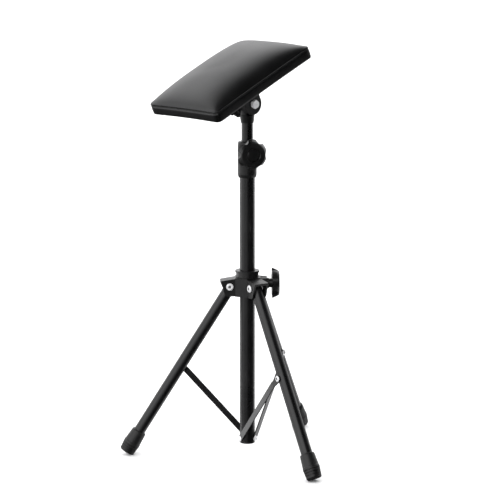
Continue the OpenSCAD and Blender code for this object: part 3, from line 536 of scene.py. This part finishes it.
joints = {joint["name"]: joint for joint in frame["record"]["behaviour"]["joints"]}
sides = ("left", "front", "back")
own_finish["hub_pivot_rivets"] = dimpled_zinc("hub_rivet_zinc",
                                              [joints[f"leg_{side}_fold"] for side in sides])
for side in sides:
    own_finish[f"brace_rivet_{side}"] = dimpled_zinc(f"brace_rivet_zinc_{side}",
                                                     [joints[f"brace_{side}_pivot"]])
print("nodes with a finish of their own:", len(own_finish))

# %% [markdown]
# The CAD names a material slot for every node, so one loop dresses them all. The soft nodes
# are left out, because the pieces that are modelled below take their place.

# %% Give every CAD node its finish
slot_of = {part["node"]: part["material_slot"] for part in frame["record"]["subparts"]}
soft_slots = ("foam", "cover_leather", "base_cloth")
hard_nodes = [name for name in nodes if slot_of[name] not in soft_slots]
for name in hard_nodes:
    mesh = nodes[name].data
    mesh.materials.clear()
    mesh.materials.append(own_finish.get(name, finishes[slot_of[name]]))
print("dressed", len(hard_nodes), "of", len(nodes), "nodes")

# %% [markdown]
# ## Shared measures
# Everything on the cushion is built in the pad's own frame: the origin is the middle of the tilt
# hinge, X runs up the slope, Y along the hinge and Z straight out of the padded top. That way
# the shapes are symmetrical and easy to describe, and one matrix then carries each finished piece
# to its place on the stand.

# %% Pad frame and its measures
MM = 0.001
hinge_height = 0.597
pad_turn = math.radians(39.5)
pad_tilt = math.radians(25)
pad_frame = (Matrix.Translation((0, 0, hinge_height))
             @ Matrix.Rotation(pad_turn, 4, "Z") @ Matrix.Rotation(-pad_tilt, 4, "Y"))
pad_middle_x = -15.5 * MM
pad_length, pad_width = 225 * MM, 171.5 * MM
hem_z, seam_z, top_z = 43.1 * MM, 59.1 * MM, 83.6 * MM
corner_radius = 9 * MM
print("pad", round(pad_length / MM, 1), "x", round(pad_width / MM, 1), "mm, hinge at",
      round(hinge_height / MM, 1), "mm")

# %% [markdown]
# The new pieces are shaped in edit mode, as by hand. A click can't be written down, so a
# helper selects vertices, edges or faces by a test on where they are.

# %% Helpers for edit mode
def to_edit(mode="FACE"):
    """Enters edit mode with nothing selected."""
    bpy.ops.object.mode_set(mode="EDIT")
    bpy.ops.mesh.select_mode(type=mode)
    bpy.ops.mesh.select_all(action="DESELECT")


def pick(obj, kind, test):
    """Selects the vertices, edges or faces whose middle passes the test, and leaves the rest."""
    mesh = bmesh.from_edit_mesh(obj.data)
    for item in getattr(mesh, kind):
        points = [item.co] if kind == "verts" else [v.co for v in item.verts]
        middle = sum(points, Vector()) / len(points)
        if test(middle, item):
            item.select_set(True)
    bmesh.update_edit_mesh(obj.data)


print("helpers for edit mode:", to_edit.__name__, pick.__name__)

# %% [markdown]
# ## The cushion
# The real pad is a block of foam on a board, under a cover of black artificial leather: one
# panel on top, and a band around the side that is pulled under the board and stapled. Foam
# under a stretched cover swells most in the middle and least at the seams and corners. It could
# be sculpted, but a cloth simulation finds that form by itself. So the work starts with a
# block of the band's height, with its four upright edges and its lower rim rounded.

# %% Block with rounded corners
band_inset = 0.1 * MM
above_seam = 0.8 * MM
hem_round = 1.8 * MM
upright_edge = 5 * MM
lower_rim = hem_z + 0.1 * MM
bpy.ops.object.select_all(action="DESELECT")
bpy.ops.mesh.primitive_cube_add(
    size=1, location=(pad_middle_x, 0, (hem_z + seam_z) / 2 + above_seam / 2))
block = bpy.context.active_object
block.name = "cushion_block"
block.scale = (pad_length - 2 * band_inset, pad_width - 2 * band_inset,
               seam_z - hem_z + above_seam)
bpy.ops.object.transform_apply(location=True, rotation=True, scale=True)
to_edit("EDGE")
pick(block, "edges",
     lambda middle, edge: abs(edge.verts[0].co.z - edge.verts[1].co.z) > upright_edge)
bpy.ops.mesh.bevel(offset=corner_radius, segments=8)
bpy.ops.mesh.select_all(action="DESELECT")
pick(block, "edges", lambda middle, edge: max(v.co.z for v in edge.verts) < lower_rim)
bpy.ops.mesh.bevel(offset=hem_round, segments=3)
bpy.ops.object.mode_set(mode="OBJECT")
print("block", [round(v / MM) for v in block.dimensions], "mm")

# %% [markdown]
# Seen along either side, the photographed crown is an ellipse that ends steeply at the seam. The
# block is remeshed into even squares, and its top is lifted to such a dome, a little lower
# than the real one, because the simulation adds the rest.

# %% Even mesh with a crown
mesh_step = 2.5 * MM
half_l, half_w = pad_length / 2 - band_inset, pad_width / 2 - band_inset
crown_foot = 0.3 * MM
crown_power = 2.6
left_to_swell = 0.3 * MM
start_crown = top_z - seam_z - left_to_swell
select_only(block)
block.data.remesh_voxel_size = mesh_step
bpy.ops.object.voxel_remesh()
for vertex in block.data.vertices:
    if vertex.co.z > seam_z + crown_foot:
        along = 1 - min(1.0, abs(vertex.co.x - pad_middle_x) / half_l) ** crown_power
        across = 1 - min(1.0, abs(vertex.co.y) / half_w) ** crown_power
        vertex.co.z = seam_z + crown_foot + start_crown * math.sqrt(along * across)
block.data.update()
print("mesh of", len(block.data.vertices), "points, crown", round(start_crown / MM, 1), "mm")

# %% [markdown]
# In the simulation the cover is cloth with air pressure inside it, which stands for the
# foam. A cap on the travel keeps the cushion close to the size that the CAD gives it.

# %% One way to swell a form
def swell(obj, pressure, cap, pinned, frames=20):
    """Inflates a form as cloth and lets no point move further than the cap."""
    select_only(obj)
    start = [v.co.copy() for v in obj.data.vertices]
    sewn = obj.vertex_groups.new(name="sewn")
    for vertex in obj.data.vertices:
        weight = pinned(vertex.co)
        if weight > 0:
            sewn.add([vertex.index], weight, "REPLACE")
    cloth = obj.modifiers.new("swell", "CLOTH")
    settings = cloth.settings
    settings.use_pressure = True
    settings.uniform_pressure_force = pressure
    settings.effector_weights.gravity = 0
    settings.vertex_group_mass = "sewn"
    settings.quality = 6
    settings.tension_stiffness = 25
    settings.compression_stiffness = 25
    settings.bending_stiffness = 10.0
    cloth.point_cache.frame_start, cloth.point_cache.frame_end = 1, frames
    scene = bpy.context.scene
    for frame_number in range(1, frames + 1):
        scene.frame_set(frame_number)
    bpy.ops.object.modifier_apply(modifier=cloth.name)
    scene.frame_set(1)
    furthest = 0
    for vertex, before in zip(obj.data.vertices, start):
        step = vertex.co - before
        furthest = max(furthest, step.length)
        if step.length > cap:
            vertex.co = before + step * (cap / step.length)
    obj.vertex_groups.clear()
    print(obj.name, "swelled by up to", round(furthest / MM, 1), "mm, cap", round(cap / MM, 1))


print("builder of the swelling:", swell.__name__)

# %% [markdown]
# The hem is held by its staples and the seam by its thread. Both could be left free and held
# by the cloth's own stiffness, but pins are sure. The pins are full at the hem and a little
# softer at the seam, and they fade out over a few millimetres so that no ridge forms.

# %% Swell the foam under its cover
def sewn_weight(point, hold=3.5 * MM, rim=6 * MM, at_seam=0.9):
    """1 on the underside and hem, a little less around the seam, 0 elsewhere."""
    if point.z < hem_z + hold:
        return 1.0
    near_seam = 1 - abs(point.z - seam_z) / hold
    edge_x = abs(point.x - pad_middle_x) - (pad_length / 2 - rim)
    edge_y = abs(point.y) - (pad_width / 2 - rim)
    if near_seam > 0 and max(edge_x, edge_y) > 0:
        return at_seam * near_seam
    return 0.0


swell(block, pressure=8.0, cap=2.0 * MM, pinned=sewn_weight)


# %% [markdown]
# A tight cover pulls the sides inwards between the corners, where nothing resists it, so each
# side of the real pad is a shallow curve. Moving the points by a parabola is exact, and the
# welt can follow it later by the same function.

# %% Draw the sides in between the corners
def draw_in(obj, bow=1.4 * MM):
    """The cover pulls every side inwards, most in its middle."""
    for vertex in obj.data.vertices:
        x, y = vertex.co.x - pad_middle_x, vertex.co.y
        vertex.co.x -= bow * (x / half_l) * max(0.0, 1 - (y / half_w) ** 2)
        vertex.co.y -= bow * (y / half_w) * max(0.0, 1 - (x / half_l) ** 2)


draw_in(block)
print("sides drawn in:", [round(v / MM, 1) for v in block.dimensions], "mm")

# %% [markdown]
# Artificial leather has a fine pebbled grain: rounded cells about a millimetre wide with
# thin creases between them, on a skin that shines softly. The grain comes from two cell
# textures of different size, bent by noise so that no row repeats. It only bumps the skin,
# because in the photograph a cell is smaller than a pixel.

# %% Leather grain
leather_group, group_in, group_out = shader_group(
    "leather_grain", [("Cell Scale", 1150.0)], ["Height"])
place = leather_group.nodes.new("ShaderNodeTexCoord")
wander = node(leather_group, "ShaderNodeTexNoise", Scale=260.0, Detail=2.0)
leather_group.links.new(place.outputs["Object"], wander.inputs["Vector"])
bent = node(leather_group, "ShaderNodeVectorMath", operation="MULTIPLY_ADD")
leather_group.links.new(wander.outputs["Color"], bent.inputs[0])
bent.inputs[1].default_value = (0.0012, 0.0012, 0.0012)
leather_group.links.new(place.outputs["Object"], bent.inputs[2])
cells = node(leather_group, "ShaderNodeTexVoronoi", feature="SMOOTH_F1")
small = node(leather_group, "ShaderNodeTexVoronoi", feature="F1")
for texture, factor in ((cells, 1.0), (small, 2.7)):
    leather_group.links.new(bent.outputs[0], texture.inputs["Vector"])
    cell_scale = math_node(leather_group, "MULTIPLY", group_in.outputs["Cell Scale"], factor)
    leather_group.links.new(cell_scale, texture.inputs["Scale"])
deep = math_node(leather_group, "MULTIPLY", cells.outputs["Distance"], 0.7)
shallow = math_node(leather_group, "MULTIPLY", small.outputs["Distance"], 0.3)
hollows = math_node(leather_group, "ADD", deep, shallow)
pebbles = math_node(leather_group, "SUBTRACT", 1.0, hollows)
leather_group.links.new(pebbles, group_out.inputs["Height"])
print(leather_group.name, len(leather_group.nodes), "nodes")

# %% [markdown]
# A cover is handled like a tube, so the leather starts as another hard finish, with wide and
# soft unevenness for its grain. A second bump then lays the pebbles over it.

# %% Leather finish
black_leather = hard_finish("black_leather", (0.0015, 0.0015, 0.0016), (0.0027, 0.0027, 0.0028),
                            0.37, 0.42, grain=420, depth=0.00003, patch=11)
leather_tree = black_leather.node_tree
skin = group_node(leather_tree, leather_group, Cell_Scale=1150.0)
add_bump(leather_tree, skin.outputs["Height"], strength=0.55, distance=0.00007)
print("leather", len(leather_tree.nodes), "nodes")

# %% [markdown]
# The remesh and the simulation leave small steps, which leather would never show. A Smooth
# modifier evens them out, held back near the seam and the hem so that these stay crisp. One
# level of subdivision then gives enough points for the seam's shape.

# %% Smooth the cover, but not its seam
def add_modifier(obj, kind, name, **settings):
    """Adds a modifier with its settings and applies it."""
    modifier = obj.modifiers.new(name, kind)
    for key, value in settings.items():
        setattr(modifier, key, value)
    bpy.ops.object.modifier_apply(modifier=modifier.name)


kept_at_seam, kept_at_hem = 2.2 * MM, 2.0 * MM
select_only(block)
free_group = block.vertex_groups.new(name="free")
for vertex in block.data.vertices:
    near_edge = abs(vertex.co.z - seam_z) < kept_at_seam or vertex.co.z < hem_z + kept_at_hem
    free_group.add([vertex.index], 0.25 if near_edge else 1.0, "REPLACE")
add_modifier(block, "SMOOTH", "even", factor=0.5, iterations=8, vertex_group="free")
block.vertex_groups.clear()
add_modifier(block, "SUBSURF", "fine", levels=1, render_levels=1)
print("cover", len(block.data.polygons), "faces")

# %% [markdown]
# Where panel and band are sewn together, the thread pulls a groove into the foam, and just
# above it the panel bulges over the seam as a soft lip. Both are bell curves of the height
# above the seam, pushed inwards or outwards from the rim. The hem is pulled down a little
# where it turns under the board.

# %% Groove, lip and hem
groove_below, groove_width, groove_depth = 0.7 * MM, 1.4 * MM, 1.9 * MM
lip_above, lip_width, lip_bulge = 2.4 * MM, 2.0 * MM, 0.9 * MM
rim_reach = 4 * MM
hem_reach, hem_run, hem_drop = 4 * MM, 2.5 * MM, 1.1 * MM
straight_l, straight_w = half_l - corner_radius, half_w - corner_radius
for vertex in block.data.vertices:
    away = Vector((vertex.co.x - pad_middle_x, vertex.co.y))
    straight = Vector((max(-1, min(1, away.x / straight_l)) * straight_l,
                       max(-1, min(1, away.y / straight_w)) * straight_w))
    outward = away - straight
    groove = math.exp(-((vertex.co.z - seam_z + groove_below) / groove_width) ** 2)
    lip = math.exp(-((vertex.co.z - seam_z - lip_above) / lip_width) ** 2)
    if outward.length > corner_radius - rim_reach:
        pull = outward.normalized() * (groove_depth * groove - lip_bulge * lip)
        vertex.co.x -= pull.x
        vertex.co.y -= pull.y
        if vertex.co.z < hem_z + hem_reach:
            into_rim = outward.length - corner_radius + rim_reach
            vertex.co.z -= hem_drop * min(1.0, into_rim / hem_run)
bpy.ops.object.shade_smooth()
print("cushion", [round(v / MM, 1) for v in block.dimensions], "mm, top at",
      round(max(v.co.z for v in block.data.vertices) / MM, 1), "mm")

# %% [markdown]
# The finished cushion is carried to the board. The turn goes into the mesh itself and the
# object stays at the origin, so that its material reads the same coordinates as the CAD's.

# %% Set the cushion on the board
def settle(obj, name, body, finish):
    """Carries a piece from the pad's frame to the stand, with its place in its mesh."""
    select_only(obj)
    obj.matrix_world = pad_frame @ obj.matrix_world
    bpy.ops.object.transform_apply(location=True, rotation=True, scale=True)
    obj.name = obj.data.name = name
    obj.data.materials.clear()
    obj.data.materials.append(finish)
    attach(obj, body)
    print(name, len(obj.data.polygons), "faces")
    return obj


cushion = settle(block, "cushion", "pad", black_leather)
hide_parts("pad_cover", "pad_foam")

# %% [markdown]
# A thin welt, a leather tube as thick as a match, is sewn in between the top panel and the
# band. It lies in the groove, so that its upper side catches a line of light and the band
# below stays dark. A sweep along the seam gives it the same section all round: the outline of
# the pad, drawn in like the cushion, becomes a curve with a round bevel and then a mesh.

# %% Welt along the seam
welt_radius = 0.9 * MM
welt_depth = 1.3 * MM
long_edge = 50 * MM
bpy.ops.object.select_all(action="DESELECT")
bpy.ops.mesh.primitive_plane_add(size=1, location=(pad_middle_x, 0, seam_z - groove_below))
welt = bpy.context.active_object
welt.scale = (pad_length - 2 * welt_depth - 2 * band_inset,
              pad_width - 2 * welt_depth - 2 * band_inset, 1)
bpy.ops.object.transform_apply(location=True, rotation=True, scale=True)
to_edit("VERT")
bpy.ops.mesh.select_all(action="SELECT")
bpy.ops.mesh.bevel(affect="VERTICES", offset=corner_radius - welt_depth, segments=8)
bpy.ops.mesh.select_mode(type="EDGE")
bpy.ops.mesh.select_all(action="DESELECT")
pick(welt, "edges", lambda middle, edge: edge.calc_length() > long_edge)
bpy.ops.mesh.subdivide(number_cuts=30)
bpy.ops.mesh.select_mode(type="FACE")
bpy.ops.mesh.select_all(action="SELECT")
bpy.ops.mesh.delete(type="ONLY_FACE")
bpy.ops.object.mode_set(mode="OBJECT")
draw_in(welt)


def sweep(obj, radius, resolution):
    """Turns the selected outline into a round rod along it."""
    bpy.ops.object.convert(target="CURVE")
    obj.data.bevel_depth = radius
    obj.data.bevel_resolution = resolution
    bpy.ops.object.convert(target="MESH")
    return bpy.context.active_object


welt = sweep(welt, welt_radius, 4)
bpy.ops.object.shade_smooth()
settle(welt, "seam_welt", "pad", black_leather)

# %% [markdown]
# ## The underside
# Under the pad, a thin black dust cloth hides the board. It is a plain weave, one thread over
# and one under. The two thread directions are sine waves on the cloth's own UV map, so that the
# weave follows the cloth, and their product is high where one crosses the other. Wide
# noise adds the fuzz that catches dust.

# %% Plain weave
weave_group, group_in, group_out = shader_group(
    "plain_weave", [("Along", 296.0), ("Across", 219.0)], ["Height", "Fuzz"])
place = weave_group.nodes.new("ShaderNodeTexCoord")
uv = weave_group.nodes.new("ShaderNodeSeparateXYZ")
weave_group.links.new(place.outputs["UV"], uv.inputs[0])
waves = []
for axis, label in (("X", "Along"), ("Y", "Across")):
    turns = math_node(weave_group, "MULTIPLY", uv.outputs[axis], group_in.outputs[label])
    angle = math_node(weave_group, "MULTIPLY", turns, 2 * math.pi)
    waves.append(math_node(weave_group, "SINE", angle))
crossing = math_node(weave_group, "MULTIPLY", waves[0], waves[1])
weave_group.links.new(math_node(weave_group, "MULTIPLY_ADD", crossing, 0.5),
                      group_out.inputs["Height"])
fuzz = node(weave_group, "ShaderNodeTexNoise", Scale=90.0, Detail=4.0, Roughness=0.7)
weave_group.links.new(place.outputs["Object"], fuzz.inputs["Vector"])
weave_group.links.new(stretch(weave_group, fuzz.outputs["Fac"], 0.35, 0.65),
                      group_out.inputs["Fuzz"])
print(weave_group.name, len(weave_group.nodes), "nodes")

# %% [markdown]
# The cloth has hardly any gloss, so its roughness is high, and a little sheen stands for the
# fibres that rise from the threads. The fuzz mixes two blacks, and the weave is a bump.

# %% Dust cloth finish
cloth_finish = bpy.data.materials.new("dust_cloth")
cloth_finish.use_nodes = True
cloth_tree = cloth_finish.node_tree
cloth_shader = cloth_tree.nodes["Principled BSDF"]
cloth_shader.inputs["Roughness"].default_value = 0.92
cloth_shader.inputs["Sheen Weight"].default_value = 0.25
weave = group_node(cloth_tree, weave_group)
tint = colour_mix(cloth_tree, weave.outputs["Fuzz"], (0.007, 0.007, 0.007), (0.018, 0.018, 0.019))
cloth_tree.links.new(tint, cloth_shader.inputs["Base Color"])
add_bump(cloth_tree, weave.outputs["Height"], strength=0.7, distance=0.00015)
print("dust cloth", len(cloth_tree.nodes), "nodes")

# %% [markdown]
# The cloth is cut 9 mm smaller than the pad on every side, laid over the hem and stapled. The
# bracket's plate presses it flat, and its four screws pass through it. In between it hangs
# about a millimetre loose, with faint ripples. A simulation could find the sag, but for one
# so small it is enough to lower the points by a formula.

# %% Dust cloth
bare_hem = 9 * MM
cloth_length, cloth_width = pad_length - 2 * bare_hem, pad_width - 2 * bare_hem
plate_reach = (46 * MM, 29 * MM)
plate_screws = [(x * 37 * MM, y * 21 * MM) for x in (-1, 1) for y in (-1, 1)]
screw_hole = 3.4 * MM
held_edge, slack_run, plate_run = 5 * MM, 14 * MM, 18 * MM
cloth_sag = 1.3 * MM
cloth_thickness = 0.4 * MM
below_hem = 0.3 * MM
ripple_share, ripples_along, ripples_across = 0.25, 260, 300
bpy.ops.object.select_all(action="DESELECT")
bpy.ops.mesh.primitive_grid_add(x_subdivisions=69, y_subdivisions=51, size=1,
                                location=(pad_middle_x, 0, hem_z - below_hem))
cloth = bpy.context.active_object
cloth.scale = (cloth_length, cloth_width, 1)
bpy.ops.object.transform_apply(location=True, rotation=True, scale=True)
to_edit()
pick(cloth, "faces",
     lambda middle, face: min(math.dist(middle[:2], hole) for hole in plate_screws) < screw_hole)
bpy.ops.mesh.delete(type="FACE")
bpy.ops.object.mode_set(mode="OBJECT")
for vertex in cloth.data.vertices:
    x, y = vertex.co.x, vertex.co.y
    off_plate = max(abs(x) - plate_reach[0], abs(y) - plate_reach[1], 0.0)
    from_edge = min(cloth_length / 2 - abs(x - pad_middle_x), cloth_width / 2 - abs(y))
    loose = (min(off_plate / plate_run, 1.0)
             * min(max(from_edge - held_edge, 0.0) / slack_run, 1.0))
    ripple = ripple_share * math.sin(x * ripples_along) * math.sin(y * ripples_across)
    vertex.co.z -= cloth_sag * loose * loose * (1 - ripple_share + ripple)
add_modifier(cloth, "SOLIDIFY", "thick", thickness=cloth_thickness, offset=0.0)
bpy.ops.object.shade_smooth()
dust_cloth = settle(cloth, "dust_cloth", "pad", cloth_finish)
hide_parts("pad_base_cloth")

# %% [markdown]
# Staples hold the cloth and the hem to the board. A staple is a wire bent twice, so one is made
# from the outline of a plate: its two lower corners, as it lies under the pad, are rounded, its
# upper edge is taken away and the rest is swept.

# %% One staple
wire = 0.38 * MM
staple_width, staple_legs, staple_bend = 10 * MM, 2.4 * MM, 0.9 * MM
open_side = 1.1 * MM
bpy.ops.object.select_all(action="DESELECT")
bpy.ops.mesh.primitive_plane_add(size=1, rotation=(math.radians(90), 0, 0))
staple = bpy.context.active_object
staple.scale = (staple_width, staple_legs, 1)
bpy.ops.object.transform_apply(location=True, rotation=True, scale=True)
to_edit("VERT")
pick(staple, "verts", lambda place, vertex: place.z < 0)
bpy.ops.mesh.bevel(affect="VERTICES", offset=staple_bend, segments=3)
bpy.ops.mesh.select_mode(type="EDGE")
bpy.ops.mesh.select_all(action="DESELECT")
pick(staple, "edges", lambda middle, edge: middle.z > open_side)
bpy.ops.mesh.delete(type="EDGE")
bpy.ops.object.mode_set(mode="OBJECT")
staple = sweep(staple, wire, 2)
print("staple", len(staple.data.polygons), "faces")

# %% [markdown]
# Such a row is stapled by hand, so the steps are even but never exact. An array would be too
# regular, so each copy is moved by up to a millimetre and turned by a few degrees, from a
# fixed seed that gives the same row at every run. All copies are then joined, because they
# never move apart.

# %% A row of staples round the cloth
dice = random.Random(11)
from_cloth_edge = 5 * MM
under_cloth = 0.5 * MM
staples_along, staples_across = 9, 7
row_l, row_w = cloth_length / 2 - from_cloth_edge, cloth_width / 2 - from_cloth_edge
spots = []
for along_length, span, count in ((True, row_l, staples_along), (False, row_w, staples_across)):
    for step in range(count):
        run = span * (2 * (step + 0.5) / count - 1)
        for sign in (-1, 1):
            spots.append((run, sign * row_w, 0.0) if along_length
                         else (sign * row_l, run, math.pi / 2))
staples = [staple]
for index in range(len(spots) - 1):
    select_only(staple)
    bpy.ops.object.duplicate()
    staples.append(bpy.context.active_object)
for piece, (x, y, turn) in zip(staples, spots):
    piece.location = (pad_middle_x + x + dice.uniform(-1, 1) * MM,
                      y + dice.uniform(-0.5, 0.5) * MM,
                      hem_z - under_cloth - wire + staple_legs / 2)
    piece.rotation_euler = (0, 0, turn + math.radians(dice.uniform(-5, 5)))
bpy.ops.object.select_all(action="DESELECT")
for piece in staples:
    piece.select_set(True)
bpy.context.view_layer.objects.active = staple
bpy.ops.object.join()
bpy.ops.object.shade_smooth()
settle(bpy.context.active_object, "staples", "pad", finishes["zinc_steel"])
print(len(spots), "staples")
